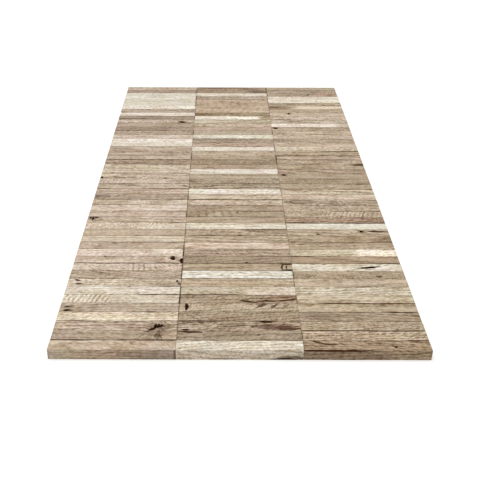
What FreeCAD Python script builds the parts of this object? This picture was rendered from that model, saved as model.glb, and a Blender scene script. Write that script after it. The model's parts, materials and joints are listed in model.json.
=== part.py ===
# Oak finger parquet panel: three columns of narrow sawn strips, laid side by side with the walking face up.
# Millimetres. The origin is the middle of the underside, +X runs along the strips, +Y runs from the front row to
# the back row, and +Z points up. Rows are counted from 1 at the front.
import FreeCAD
import Part
import os

# One strip, and the joint left between it and each neighbour
STRIP_LENGTH = 160.0
STRIP_WIDTH = 20.0
STRIP_THICKNESS = 15.0
JOINT_GAP = 0.2
ARRIS = 0.2  # sharp sawn edges round the walking face, just eased

# The sorts of oak, and the laying plan: each column's strips from the front row to the back row, a letter each
SORTS = {"S": "sapwood", "P": "pale", "H": "heartwood", "B": "brown"}
LAYING_PLAN = {
    "left": "HBBPHPSPHHHPHPHPHPPPBBHHHPPBPHHSSHHBHHBSBSSSSSBH",
    "middle": "SBBBHBSHSHBBPHBSHHBHPSBBHSBBHHSBBSHHPPSBHHHHBSBB",
    "right": "BBHBPPPHHSBSBBHSBHHBPPHHHBHBBHPHBHHBSHHHPPBSSBBH",
}

# Mouths of the open knots and checks in the walking face: length along the strip, then width across it
KNOT_MOUTHS = {
    "pin knot": (3.0, 6.0),
    "small knot": (7.0, 4.0),
    "round knot": (7.0, 7.5),
    "long knot": (11.0, 7.0),
    "cross knot": (5.5, 10.5),
    "slit": (4.5, 13.0),
    "check": (28.0, 2.5),
}
# Where they lie, by column and row: shares of the strip's length from its left end and of its width from its front
KNOT_SHARES = {
    "left 3": ((0.84, 0.35, "long knot"),),
    "left 5": ((0.06, 0.15, "small knot"),),
    "left 8": ((0.08, 0.70, "small knot"), (0.965, 0.65, "pin knot")),
    "left 11": ((0.91, 0.80, "cross knot"), (0.99, 0.32, "cross knot")),
    "left 17": ((0.05, 0.77, "long knot"),),
    "left 38": ((0.84, 0.25, "round knot"),),
    "middle 5": ((0.065, 0.65, "slit"),),
    "right 10": ((0.70, 0.40, "check"),),
    "right 15": ((0.30, 0.20, "small knot"), (0.73, 0.60, "round knot")),
    "right 25": ((0.055, 0.78, "round knot"),),
    "right 36": ((0.05, 0.55, "long knot"),),
    "right 40": ((0.26, 0.68, "round knot"),),
}
KNOT_DEPTH = 4.0
KNOT_FLOOR_SHARE = 0.45  # the hole narrows to this share of its mouth
KNOT_OVERCUT = 0.5  # how far the cutter stands out of the walking face

COLUMNS = tuple(LAYING_PLAN)
ROWS = len(LAYING_PLAN["left"])
LENGTH_PITCH = STRIP_LENGTH + JOINT_GAP
WIDTH_PITCH = STRIP_WIDTH + JOINT_GAP
PANEL_WIDTH = len(COLUMNS) * LENGTH_PITCH - JOINT_GAP
PANEL_DEPTH = ROWS * WIDTH_PITCH - JOINT_GAP

UP = FreeCAD.Vector(0, 0, 1)


def sawn_strip():
    """One strip with its front left bottom corner at the origin, and the edges of its walking face eased."""
    blank = Part.makeBox(STRIP_LENGTH, STRIP_WIDTH, STRIP_THICKNESS)
    walking_face = max(blank.Faces, key=lambda face: face.CenterOfMass.z)
    return blank.makeChamfer(ARRIS, walking_face.Edges)


def knot_hole(length, width):
    """Tapered oval plug for one open knot, on the Z axis, with the walking face at height 0."""
    long_axis = max(length, width) / 2
    short_axis = min(length, width) / 2
    rims = []
    for height, share in ((KNOT_OVERCUT, 1.0), (-KNOT_DEPTH, KNOT_FLOOR_SHARE)):
        oval = Part.Ellipse(FreeCAD.Vector(0, 0, height), long_axis * share, short_axis * share)
        rims.append(Part.Wire(oval.toShape()))
    plug = Part.makeLoft(rims, True, True)
    if width > length:
        plug.rotate(FreeCAD.Vector(), UP, 90)
    return plug


def laid_strip(blank, column, row):
    """The strip of that column and row in its place, with its open knots cut."""
    x = -PANEL_WIDTH / 2 + COLUMNS.index(column) * LENGTH_PITCH
    y = -PANEL_DEPTH / 2 + (row - 1) * WIDTH_PITCH
    corner = FreeCAD.Vector(x, y, 0)
    strip = blank.translated(corner)
    for along, across, kind in KNOT_SHARES.get(f"{column} {row}", ()):
        place = FreeCAD.Vector(along * STRIP_LENGTH, across * STRIP_WIDTH, STRIP_THICKNESS)
        strip = strip.cut(knot_hole(*KNOT_MOUTHS[kind]).translated(corner + place))
    return strip


def main():
    os.makedirs("parts", exist_ok=True)
    blank = sawn_strip()
    for column, plan in LAYING_PLAN.items():
        for letter, sort in SORTS.items():
            rows = [row for row, planned in enumerate(plan, start=1) if planned == letter]
            strips = [solid for row in rows for solid in laid_strip(blank, column, row).Solids]
            group = Part.makeCompound(strips)
            group.exportStep(f"parts/{column}_{sort}_strips.step")
            print(column, sort, len(strips), "strips", round(group.Volume), "mm3", group.isValid())


main()
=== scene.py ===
# Oak finger parquet panel: 144 sawn strips in three columns, lying flat with the walking face up.
# Metres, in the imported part's frame: +X along the strips, +Y from the front row to the back row, +Z up.
# Rows are counted from 1 at the front. A place on a strip is a share of its length from the left end, and a
# share of its width from the front edge.
import functools
import json
import math
import random

import bmesh
import bpy
import numpy as np
from mathutils import Matrix, Vector, noise

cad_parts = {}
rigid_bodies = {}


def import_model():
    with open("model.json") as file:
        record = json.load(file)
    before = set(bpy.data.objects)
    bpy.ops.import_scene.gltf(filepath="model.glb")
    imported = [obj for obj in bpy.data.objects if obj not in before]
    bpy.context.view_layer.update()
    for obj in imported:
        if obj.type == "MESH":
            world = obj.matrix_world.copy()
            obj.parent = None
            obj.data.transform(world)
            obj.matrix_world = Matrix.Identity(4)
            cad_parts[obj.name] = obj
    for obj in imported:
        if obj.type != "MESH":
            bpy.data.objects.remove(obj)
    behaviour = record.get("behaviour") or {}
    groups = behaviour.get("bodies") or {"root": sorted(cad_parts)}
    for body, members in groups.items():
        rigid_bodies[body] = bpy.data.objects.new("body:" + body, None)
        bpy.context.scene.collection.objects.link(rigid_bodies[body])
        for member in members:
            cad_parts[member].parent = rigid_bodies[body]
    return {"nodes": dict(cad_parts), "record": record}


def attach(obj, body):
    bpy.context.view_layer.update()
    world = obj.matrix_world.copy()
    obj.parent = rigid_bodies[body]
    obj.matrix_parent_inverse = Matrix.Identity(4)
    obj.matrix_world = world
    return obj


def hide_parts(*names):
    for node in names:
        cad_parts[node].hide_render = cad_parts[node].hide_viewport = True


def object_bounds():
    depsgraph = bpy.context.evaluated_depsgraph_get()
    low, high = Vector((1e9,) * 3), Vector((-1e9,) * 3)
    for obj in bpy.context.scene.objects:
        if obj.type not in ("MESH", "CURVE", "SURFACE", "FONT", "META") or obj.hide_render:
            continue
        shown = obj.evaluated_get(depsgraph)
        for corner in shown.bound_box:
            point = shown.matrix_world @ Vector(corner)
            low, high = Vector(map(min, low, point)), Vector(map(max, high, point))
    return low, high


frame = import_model()
cad_low, cad_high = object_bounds()

MM = 0.001
COLUMNS = ("left", "middle", "right")
ROWS = 48

# One strip as packed, and the joint round it
LENGTH = 160 * MM
WIDTH = 20 * MM
THICKNESS = 15 * MM
JOINT = 0.2 * MM
ARRIS = 0.2 * MM
BLANK_CUTS = (39, 3, 2)  # along, across and up, to carry its waves and chips
LUMPS = 4  # rounds of a knot cutter's subdivision

# How each strip differs from the rest of its sort, by column and row. A row listed twice counts twice.
LIGHTER = {
    "left": (3, 3, 3, 6, 10, 12, 12, 13, 15, 21, 22, 22, 22, 22, 24, 25, 33, 34, 42, 47, 48, 48),
    "middle": (12, 13, 19, 20, 27, 32, 32, 39, 45, 45),
    "right": (2, 8, 26, 29, 32, 33, 35, 36, 37, 39, 40, 43, 44, 46),
}
MUCH_LIGHTER = {
    "left": (1, 2, 3, 4, 11, 19, 22, 34, 38, 41),
    "middle": (15, 32, 41),
    "right": (2, 13, 20, 28, 29, 32, 34, 36, 39, 40),
}
DARKER = {
    "left": (5, 7, 9, 9, 18, 18, 20, 23, 26, 27, 27, 28, 29, 29, 32, 35, 35, 36, 37, 39, 43, 44, 44, 46),
    "middle": (
        1, 1, 2, 2, 5, 7, 10, 10, 11, 14, 16, 16, 17, 21, 21, 25, 25, 28, 28, 29, 29,
        34, 37, 37, 38, 38, 40, 42, 43, 46, 47, 48, 48,
    ),
    "right": (1, 3, 5, 6, 7, 10, 12, 12, 12, 12, 17, 18, 22, 22, 23, 25, 27, 27, 30, 30, 31, 42, 45, 48),
}
MUCH_DARKER = {
    "left": (),
    "middle": (7, 18, 40),
    "right": (5, 9, 24, 41),
}
YELLOWER = {
    "left": (1, 2, 3, 4, 15, 22),
    "middle": (8, 40, 41, 42, 43),
    "right": (1, 2, 11, 12, 13, 14, 42),
}
PINKER = {
    "left": (18, 29, 40),
    "middle": (7, 8, 13, 32, 36, 37, 41, 42, 43, 44, 46, 48),
    "right": (1, 5, 11, 12, 17, 21, 37, 45),
}
GREYER = {
    "left": (6, 39, 41, 43, 44, 45, 46, 48),
    "middle": (2, 9, 23, 24, 25, 33, 34, 35, 38, 45),
    "right": (7, 16, 20, 38, 43, 46, 47, 48),
}
LESS_YELLOW = {
    "left": (),
    "middle": (9, 22, 26, 31, 33, 38),
    "right": (7, 16, 21, 31, 38, 47),
}
# The left column's timber is less yellow as a whole
COLUMN_YELLOW = {"left": -0.6, "middle": 0.0, "right": 0.1}

# Strips whose figure is quieter or livelier than the others', and sapwood that shows few open pores
QUIET = {
    "left": (1, 2, 14, 15, 19, 22, 43, 45),
    "middle": (10, 11, 13, 17, 25, 26, 31, 32),
    "right": (4, 8, 11, 25, 29, 32),
}
LIVELY = {
    "left": (20, 27, 28),
    "middle": (1, 15, 37, 38, 44, 46, 48),
    "right": (1, 31, 38, 39),
}
FEW_PORES = {
    "left": (32, 33, 40, 42, 43, 44, 45, 46),
    "middle": (1, 16, 22, 26, 31, 34, 39, 46),
    "right": (16, 37, 44, 45),
}

# How each strip was cut from its log. The rest lie somewhere between.
FLAT_SAWN = {
    "left": (1, 11, 13, 18, 19, 23, 30, 31),
    "middle": (10, 13, 17, 21),
    "right": (5, 6, 8, 14, 22, 32),
}
QUARTER_SAWN = {
    "left": (6, 10, 16, 24),
    "middle": (18, 20, 27, 28, 41, 42, 43),
    "right": (3, 18, 24),
}
# Strips whose grain runs out across the walking face
CROSS_GRAINED = {
    "left": (9, 16, 20, 24),
    "middle": (1, 4, 5, 11, 18),
    "right": (3, 9, 18, 24),
}
# Strips that lie turned over, so that their grain leans the other way
TURNED_OVER = {
    "left": (),
    "middle": (1,),
    "right": (),
}

# Bars of ray fleck across the grain: from and to along the strip, how far they lean over the strip's
# width and how far apart they are, in millimetres, and how strong they show
FLECKED = {
    "left 6": (0.0, 0.43, 6, 6.5, 0.9),
    "left 10": (0.50, 0.80, -2, 8, 0.6),
    "left 16": (0.61, 0.78, 7, 6, 0.9),
    "left 18": (0.62, 0.80, 6, 6, 0.3),
    "left 24": (0.02, 0.28, 5, 7, 0.5),
    "middle 18": (0.08, 0.60, -3, 13, 0.6),
    "middle 24": (0.55, 0.85, 4, 7, 0.3),
    "middle 28": (0.03, 0.25, 7, 6, 0.6),
    "middle 41": (0.30, 0.95, 6, 15, 0.2),
    "middle 42": (0.05, 0.95, 8, 14, 0.3),
    "middle 43": (0.05, 0.95, -4, 17, 0.3),
    "right 18": (0.35, 1.00, 7, 7, 0.7),
    "right 22": (0.02, 0.14, 0, 6, 0.5),
    "right 24": (0.45, 0.72, -6, 6, 0.4),
}

# Strips that turn lighter or darker part of the way along: where, how far the boundary leans over the
# strip's width in millimetres, and how much lighter the right part is
CHANGES = {
    "left 6": (0.42, 14, -0.4),
    "left 8": (0.42, 20, -1.3),
    "middle 7": (0.55, 12, 0.8),
    "middle 34": (0.33, -18, 0.5),
    "middle 37": (0.82, 12, 1.2),
    "middle 38": (0.45, 20, -0.6),
    "middle 39": (0.845, 5, -3.5),
    "middle 40": (0.28, 8, 0.8),
    "right 12": (0.60, 6, 2.6),
    "right 37": (0.80, 12, -1.8),
    "right 42": (0.25, 30, 2.0),
}

# Cracks and bark lines in the walking face: from along and across, to along and across, half width in
# millimetres, and how dark
CRACKS = {
    "left 2": (
        (0.735, 0.60, 0.70, 0.22, 0.9, 0.5),
        (0.852, 1.0, 0.815, 0.05, 1.2, 0.55),
        (0.85, 0.95, 0.885, 0.05, 1.4, 0.6),
        (0.862, 0.62, 0.845, 0.05, 1.4, 0.5),
    ),
    "left 3": (
        (0.80, 0.2, 0.765, 0.0, 1.0, 0.8),
        (0.89, 0.98, 0.895, 0.75, 0.9, 0.6),
        (0.865, 0.25, 0.90, -0.05, 1.2, 0.55),
    ),
    "left 5": ((0.03, 0.50, 0.12, 0.66, 1.3, 0.95), (0.03, 0.10, 0.11, 0.22, 2.0, 1.0)),
    "left 8": (
        (0.05, 0.92, 0.13, 0.55, 1.6, 1.0),
        (0.07, 0.3, 0.14, 0.36, 1.2, 0.9),
        (0.97, 0.5, 1.0, 0.1, 1.6, 0.8),
    ),
    "left 11": ((0.262, 0.92, 0.285, 0.92, 1.5, 0.9),),
    "left 17": ((0.01, 0.92, 0.11, 0.95, 1.0, 0.8), (0.075, 0.9, 0.075, 0.55, 1.0, 0.7)),
    "left 23": ((0.92, 0.66, 1.0, 0.40, 1.4, 0.95), (0.30, 0.55, 0.46, 0.72, 1.0, 0.6)),
    "left 25": (
        (0.02, 0.0, 0.02, 0.35, 2.2, 1.0),
        (0.50, 0.0, 0.50, 0.15, 1.4, 0.7),
        (0.73, 0.0, 0.73, 0.2, 1.6, 0.9),
    ),
    "left 39": ((-0.05, 0.03, 0.15, 0.0, 1.6, 0.9),),
    "middle 2": ((0.0, 0.90, 0.20, 0.82, 2.3, 0.85), (0.642, 0.55, 0.668, 0.58, 1.2, 0.85)),
    "middle 3": (
        (0.03, 0.10, 0.10, 0.10, 1.9, 1.0),
        (0.17, 0.86, 0.21, 0.78, 1.3, 0.8),
        (0.655, 0.98, 0.76, 0.87, 1.6, 0.95),
        (0.79, 0.32, 0.99, 0.20, 5.5, 0.34),
    ),
    "middle 4": ((0.04, 0.85, 0.20, 0.05, 0.9, 0.6), (0.11, 0.9, 0.26, 0.2, 0.8, 0.5)),
    "middle 5": (
        (0.645, 0.50, 0.74, 0.98, 3.2, 0.85),
        (0.775, 0.48, 0.815, 0.85, 2.8, 0.8),
        (0.80, 0.70, 0.835, 0.90, 1.8, 0.6),
        (0.88, 0.60, 0.925, 0.88, 2.2, 0.5),
    ),
    "middle 6": (
        (0.49, 0.28, 0.66, 0.14, 1.5, 0.9),
        (0.62, 0.10, 0.74, 0.32, 1.8, 0.65),
        (0.71, 0.30, 0.83, 0.22, 1.4, 0.9),
        (0.80, 0.22, 1.05, 0.58, 1.7, 0.9),
    ),
    "middle 10": (
        (0.905, 0.10, 0.915, 1.0, 1.2, 0.95),
        (0.89, 0.94, 1.06, 0.96, 2.4, 1.0),
        (0.945, 0.25, 0.95, 0.78, 1.1, 0.8),
        (0.90, 0.12, 1.06, 0.10, 2.6, 1.0),
    ),
    "middle 11": ((0.57, 0.12, 0.605, 0.12, 2.2, 0.95),),
    "middle 15": ((0.62, 0.80, 0.80, 0.35, 0.9, 0.6), (0.76, 0.36, 1.02, 0.38, 0.9, 0.6)),
    "right 1": (
        (0.07, 0.95, 0.17, 0.68, 1.6, 0.85),
        (0.14, 0.66, 0.27, 0.60, 1.8, 0.9),
        (0.71, 0.38, 0.735, 0.38, 2.0, 0.9),
    ),
    "right 9": ((0.74, 0.3, 0.80, 0.42, 1.8, 0.7), (0.76, 0.15, 0.79, 0.35, 1.4, 0.65)),
    "right 13": ((0.765, 0.1, 0.77, 0.9, 0.6, 0.35), (0.79, 0.2, 0.795, 0.8, 0.5, 0.3)),
    "right 15": ((0.76, 0.74, 1.02, 0.66, 2.4, 0.9), (0.28, 0.34, 0.35, 0.24, 0.9, 0.6)),
    "right 27": ((0.84, 0.94, 1.08, 0.88, 2.8, 1.0),),
    "right 28": ((0.88, 0.05, 1.06, 0.04, 2.0, 0.9),),
    "right 46": ((0.58, 0.35, 0.60, 0.75, 1.8, 0.9), (0.55, 0.2, 0.58, 0.3, 1.2, 0.7)),
}
# Soft stains in the walking face, given in the same way
STAINS = {
    "left 2": (
        (0.74, 0.8, 0.93, 0.75, 8, 0.35),
        (0.845, 0.6, 0.85, 0.05, 5, 0.5),
        (0.76, 0.3, 0.80, 0.1, 4, 0.3),
    ),
    "left 3": ((0.74, 0.35, 0.96, 0.4, 10, 0.45), (0.86, 0.1, 0.90, 0.5, 5, 0.35)),
    "left 17": ((0.0, 0.6, 0.14, 0.6, 7, 0.35),),
    "left 21": ((-0.05, 0.45, 0.16, 0.5, 7, 0.45),),
    "left 31": ((0.07, 0.0, 0.075, 0.9, 3, 0.25),),
    "left 38": ((0.79, 0.2, 0.93, 0.3, 5, 0.7),),
    "left 39": ((-0.1, 0.06, 0.17, 0.05, 3.4, 1.0), (0.0, 0.5, 0.5, 0.5, 8, 0.2)),
    "middle 3": (
        (0.60, 0.46, 1.00, 0.20, 5.5, 0.68),
        (0.80, 0.36, 0.985, 0.27, 8.5, 0.48),
        (0.33, 0.55, 0.55, 0.6, 5, 0.35),
    ),
    "middle 6": ((0.80, 0.85, 1.1, 0.85, 6, 0.35),),
    "middle 15": ((0.56, 0.78, 1.1, 0.62, 6, 0.4),),
    "middle 24": ((0.0, 0.55, 0.10, 0.6, 8, 0.2),),
    "middle 30": ((0.55, 0.7, 0.72, 0.65, 4, 0.3),),
    "middle 40": ((-0.1, 0.45, 0.28, 0.5, 9, 0.2),),
    "middle 47": ((0.74, 0.5, 1.05, 0.45, 8, 0.7),),
    "middle 48": ((-0.05, 0.75, 0.7, 0.8, 6, 0.5),),
    "right 4": ((0.05, 0.45, 0.36, 0.5, 6, 0.25),),
    "right 20": (
        (0.03, 0.6, 0.34, 0.6, 8, 0.5),
        (0.44, 0.45, 0.60, 0.45, 7, 0.2),
        (0.66, 0.55, 0.95, 0.55, 7, 0.25),
    ),
    "right 36": ((0.0, 0.7, 0.10, 0.75, 5, 0.5),),
    "right 42": ((-0.02, 0.6, 0.16, 0.55, 5, 0.7), (-0.1, 0.5, 0.36, 0.5, 12, 0.45)),
}
# Stains, and then cracks, on the sawn front of the panel: from along and up, to along and up, half width in
# millimetres, and how dark
FRONT_STAINS = {
    "left 1": ((-0.1, 0.0, 1.1, 0.0, 2.0, 0.4), (0.55, 0.5, 1.2, 0.5, 9, 0.35)),
    "middle 1": ((0.74, 0.0, 1.04, 0.14, 5.0, 0.85), (0.27, 0.08, 0.55, 0.14, 1.4, 0.5)),
    "right 1": ((-0.2, 0.45, 0.60, 0.45, 8, 0.3),),
}
FRONT_CRACKS = {
    "middle 1": ((0.74, 0.05, 0.99, 0.10, 1.4, 0.7), (0.79, 0.07, 0.95, 0.08, 1.8, 0.9)),
    "right 1": ((-0.2, 1.0, 0.62, 0.95, 1.8, 1.0),),
}
# Patches where the wood is rosier, given in the same way, in the walking face and then on the front
BLUSHES = {
    "left 2": ((0.87, 0.5, 1.02, 0.5, 8, 0.25),),
    "left 18": ((0.40, 0.4, 0.65, 0.5, 8, 0.2),),
    "left 47": ((0.30, 0.7, 0.80, 0.6, 9, 0.3),),
    "left 48": ((0.25, 0.3, 0.80, 0.4, 9, 0.4),),
    "middle 3": ((0.74, 0.32, 1.02, 0.28, 8, 0.6),),
    "middle 6": ((0.74, 0.5, 1.04, 0.6, 9, 0.6),),
    "middle 39": ((0.86, 0.5, 1.03, 0.5, 9, 0.8),),
    "middle 40": ((-0.05, 0.5, 0.28, 0.5, 9, 0.5),),
    "middle 41": ((-0.05, 0.5, 0.28, 0.5, 9, 0.3),),
    "middle 44": ((-0.05, 0.5, 0.30, 0.5, 9, 0.4),),
    "middle 48": ((-0.05, 0.8, 0.65, 0.8, 6, 0.4),),
    "right 17": ((0.35, 0.4, 1.05, 0.3, 8, 0.3),),
    "right 40": ((-0.05, 0.4, 0.25, 0.4, 8, 0.15),),
    "right 41": ((-0.05, 0.5, 0.25, 0.5, 9, 0.2),),
    "right 42": ((-0.05, 0.5, 0.22, 0.5, 9, 0.5),),
    "right 46": ((0.58, 0.5, 1.05, 0.6, 9, 0.5),),
    "right 47": ((0.62, 0.2, 1.05, 0.3, 7, 0.5),),
}
FRONT_BLUSHES = {
    "left 1": ((0.20, 0.4, 0.60, 0.4, 8, 0.3),),
    "middle 1": ((-0.2, 0.30, 0.8, 0.30, 7.0, 0.45),),
}

# Open knots and checks in the walking face: place along and across, length and width in millimetres, and
# turn in degrees
KNOTS = {
    "left 2": ((0.772, 0.98, 6, 3, 45),),
    "left 3": (
        (0.803, 0.14, 14, 4, 45),
        (0.845, 0.38, 11, 4.5, 8),
        (0.822, 0.52, 7, 3.2, 65),
        (0.846, 0.54, 7, 3.2, 65),
        (0.871, 0.50, 7, 3.2, 60),
    ),
    "left 5": ((0.06, 0.15, 7, 4, 10),),
    "left 8": ((0.08, 0.74, 6, 3, -20), (0.965, 0.65, 3, 6, 0)),
    "left 11": ((0.907, 0.72, 7, 13, 12), (0.99, 0.36, 6.5, 15, 0)),
    "left 17": ((0.028, 0.80, 3.5, 7, 0), (0.056, 0.68, 3.5, 10, 0), (0.095, 0.84, 6, 3.5, 0)),
    "left 38": ((0.84, 0.25, 7, 7.5, 0),),
    "middle 5": ((0.065, 0.60, 4.8, 18, 0),),
    "right 10": ((0.715, 0.50, 38, 4.4, 9),),
    "right 15": ((0.30, 0.22, 6, 3, -10), (0.73, 0.68, 6, 6.5, 0)),
    "right 25": ((0.055, 0.78, 7, 7.5, 0),),
    "right 36": ((0.05, 0.66, 9, 5, 30),),
    "right 40": ((0.26, 0.72, 7, 7.5, 0),),
}
# Splits and pits that go with the cracks, given in the same way
SPLITS = {
    "left 5": ((0.075, 0.58, 12, 1.3, 12),),
    "left 23": ((0.96, 0.53, 12, 1.4, -22), (0.38, 0.635, 18, 1.1, 8)),
    "left 25": ((0.02, 0.12, 3.5, 6, 0), (0.73, 0.05, 3, 3.5, 0)),
    "middle 2": ((0.085, 0.86, 20, 1.1, -3), (0.655, 0.565, 3.6, 2.4, 5)),
    "middle 3": ((0.064, 0.11, 10, 1.9, 2), (0.7075, 0.925, 15, 1.5, -7)),
    "middle 6": ((0.575, 0.21, 25, 1.3, -6), (0.77, 0.26, 18, 1.3, -5), (0.90, 0.365, 30, 1.4, 10)),
    "middle 10": (
        (0.91, 0.55, 1.3, 15, 0),
        (0.947, 0.52, 1.1, 9, 0),
        (0.965, 0.94, 16, 1.4, 0),
        (0.965, 0.11, 16, 1.4, 0),
    ),
    "middle 11": ((0.587, 0.12, 5.5, 2.6, 0),),
    "right 1": ((0.722, 0.38, 4.6, 2.8, 0),),
    "right 15": ((0.88, 0.70, 44, 1.2, -2),),
    "right 46": ((0.59, 0.55, 2.6, 7, 0),),
}
KNOT_DEPTH = 3.5 * MM
SLIVER = 0.002 * MM  # a cut's edges and faces are closed up where they are slimmer than this

# The saw's waves: how many along a strip, and how high in millimetres
SAW_WAVES = ((2.5, 0.03), (6, 0.02), (15, 0.015))
# Chips of an arris: how many, how long as a share of the strip, how deep in millimetres, and how much of
# that goes down
CHIP_COUNTS = (1, 4)
CHIP_LENGTHS = (0.008, 0.03)
CHIP_DEPTHS = (0.1, 0.55)
CHIP_DOWN = 0.6
ARRIS_BAND = 0.97  # the share of the height above which a vertex belongs to the walking face's edge
RIM_BAND = 0.05  # the share of the width in which it belongs to a side

# Rows whose right end meets the next column in a dark joint, the darker the more often a row is listed, and
# in one that hardly shows
DARK_ENDS = {
    "left": (
        3, 5, 6, 6, 6, 7, 7, 9, 9, 10, 10, 11, 11, 12, 12, 12, 16, 18, 18, 20, 21, 21, 22,
        29, 29, 35, 35, 43, 43, 44, 44, 45, 45, 45, 47, 47, 48,
    ),
    "middle": (9, 9, 16, 22, 28, 28, 29, 29, 29, 31, 31, 35, 41, 48, 48, 48),
    "right": (),
}
CLEAN_ENDS = {
    "left": (1, 2, 17, 26, 28, 31, 34, 36, 38),
    "middle": (3, 4, 5, 7, 10, 11, 12, 13, 14, 15, 21, 23, 25, 30, 33, 34, 38, 39),
    "right": (),
}

# How dark the joint at a front strip's right end is on the sawn front, where the walking face differs:
# painted shadow of a joint gap
FRONT_ENDS = {
    "left 1": 0.7,
}

# Joints behind a row that are too tight to be seen
TIGHT_JOINTS = {
    "left": (2, 24, 26, 32, 42, 43, 44, 45),
    "middle": (2, 29, 41, 42, 43),
    "right": (6, 44, 46),
}
TIGHT_GAP = 0.04 * MM
# How far an open joint runs on past its ends, and over how much it tapers, as shares of the strip
OPENING_RUN_ON = 0.03
OPENING_TAPER = 0.05
# Joints that stand open behind a row: from and to along the strip, and the width in millimetres
OPEN_JOINTS = {
    "left 1": ((0.0, 0.25, 0.8), (0.2, 0.8, 0.4), (0.75, 1.0, 0.9), (0.9, 1.0, 1.4)),
    "left 3": ((0.05, 0.35, 0.3),),
    "left 4": ((0.6, 0.8, 0.5),),
    "left 6": ((0.65, 1.0, 0.7),),
    "left 7": ((0.75, 1.0, 0.4),),
    "left 10": ((0.0, 1.0, 0.6),),
    "left 13": ((0.0, 0.4, 0.4), (0.35, 1.0, 0.5)),
    "left 14": ((0.5, 1.0, 0.3),),
    "left 16": ((0.85, 1.0, 0.9),),
    "left 18": ((0.3, 1.0, 0.3),),
    "left 19": ((0.0, 0.5, 0.4),),
    "left 20": ((0.1, 1.0, 0.5),),
    "left 22": ((0.0, 0.15, 0.6), (0.55, 0.9, 0.6), (0.9, 1.0, 1.2)),
    "left 23": ((0.1, 1.0, 0.4),),
    "left 27": ((0.1, 0.9, 0.6),),
    "left 28": ((0.0, 1.0, 0.8),),
    "left 29": ((0.0, 0.8, 0.8),),
    "left 35": ((0.0, 0.7, 0.5),),
    "left 38": ((0.0, 0.16, 1.2),),
    "middle 1": ((0.0, 1.0, 0.3),),
    "middle 3": ((0.0, 0.4, 0.6), (0.62, 0.8, 0.9)),
    "middle 6": ((0.0, 0.5, 0.9), (0.27, 0.48, 1.3)),
    "middle 8": ((0.0, 1.0, 0.3),),
    "middle 10": ((0.0, 1.0, 0.4),),
    "middle 11": ((0.0, 0.2, 0.4), (0.8, 1.0, 0.4)),
    "middle 12": ((0.3, 1.0, 0.4),),
    "middle 13": ((0.2, 0.6, 0.3),),
    "middle 14": ((0.0, 0.6, 0.4),),
    "middle 15": ((0.0, 0.6, 0.5), (0.58, 1.0, 1.3)),
    "middle 17": ((0.0, 1.0, 0.5),),
    "middle 18": ((0.5, 1.0, 0.7),),
    "middle 19": ((0.0, 1.0, 0.4),),
    "middle 20": ((0.0, 1.0, 0.6),),
    "middle 23": ((0.3, 1.0, 0.4),),
    "middle 27": ((0.0, 0.5, 0.3),),
    "middle 28": ((0.6, 1.0, 0.3),),
    "middle 33": ((0.1, 1.0, 0.4),),
    "right 1": ((0.6, 1.0, 0.3), (0.85, 1.0, 0.9)),
    "right 2": ((0.0, 1.0, 0.8),),
    "right 4": ((0.0, 1.0, 0.25), (0.75, 1.0, 0.6)),
    "right 5": ((0.2, 1.0, 0.8),),
    "right 10": ((0.0, 1.0, 0.4), (0.8, 1.0, 0.8)),
    "right 11": ((0.0, 0.2, 0.6),),
    "right 13": ((0.0, 1.0, 0.2),),
    "right 14": ((0.0, 0.3, 0.25),),
    "right 16": ((0.0, 1.0, 0.8),),
    "right 18": ((0.5, 1.0, 0.5),),
    "right 19": ((0.5, 1.0, 0.3),),
    "right 20": ((0.0, 1.0, 0.3),),
    "right 22": ((0.0, 1.0, 0.7),),
    "right 23": ((0.72, 1.0, 0.7),),
    "right 24": ((0.2, 0.9, 0.4),),
    "right 26": ((0.0, 0.3, 0.4),),
    "right 27": ((0.83, 1.0, 1.2),),
    "right 28": ((0.2, 1.0, 0.3),),
    "right 29": ((0.0, 1.0, 0.3), (0.53, 0.64, 0.9)),
    "right 30": ((0.55, 1.0, 0.9),),
    "right 35": ((0.7, 1.0, 0.4),),
    "right 38": ((0.0, 0.6, 0.4),),
}

# Kinds of mark, in the order they lie over the wood: their lists for the walking face and for the front, how
# many one strip can carry, how soft the rim is as a share of the half width, and the colour and its blend
MARK_KINDS = {
    "blush": (BLUSHES, FRONT_BLUSHES, 1, 0.6, "#FFEAE8", "MULTIPLY"),
    "stain": (STAINS, FRONT_STAINS, 3, 0.4, "#94857C", "MULTIPLY"),
    "crack": (CRACKS, FRONT_CRACKS, 4, 0.25, "#3F2203", "MIX"),
}
MARK_PARTS = ("from", "to", "look")
KNOT_SLOTS = (1, 2)  # knots of one strip that turn the grain round them

# What a row's place in the lists above adds to its strip's tone
LIGHT_STEP = 0.45
MUCH_LIGHTER_STEP = 1.0
MUCH_DARKER_STEP = 1.4
YELLOW_STEP = 0.8
LESS_YELLOW_STEP = 0.6
PINK_STEP = 0.8
GREY_STEPS = (0.3, 0.8)  # taken from the yellow and from the pink
QUIET_SHARE = 0.65
LIVELY_SHARE = 1.35
FEW_PORES_SHARE = 0.4
# How much a whole unit of that tone changes the colour
LIGHT_UNIT = 0.16
YELLOW_UNIT = 0.06
PINK_UNIT = 0.02

# How dark joints are, up to 1: grime, and painted shade in their gaps
DARK_END_STEP = 0.3
CLEAN_END = 0.03
OTHER_ENDS = (0.05, 0.1, 0.2, 0.6)
OUTER_END = 0.1
TIGHT_END_GRAIN = 0.15
# An open joint's painted shade deepens with its width, and is darkest at this one
DARKEST_GAP = 0.5 * MM

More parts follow.
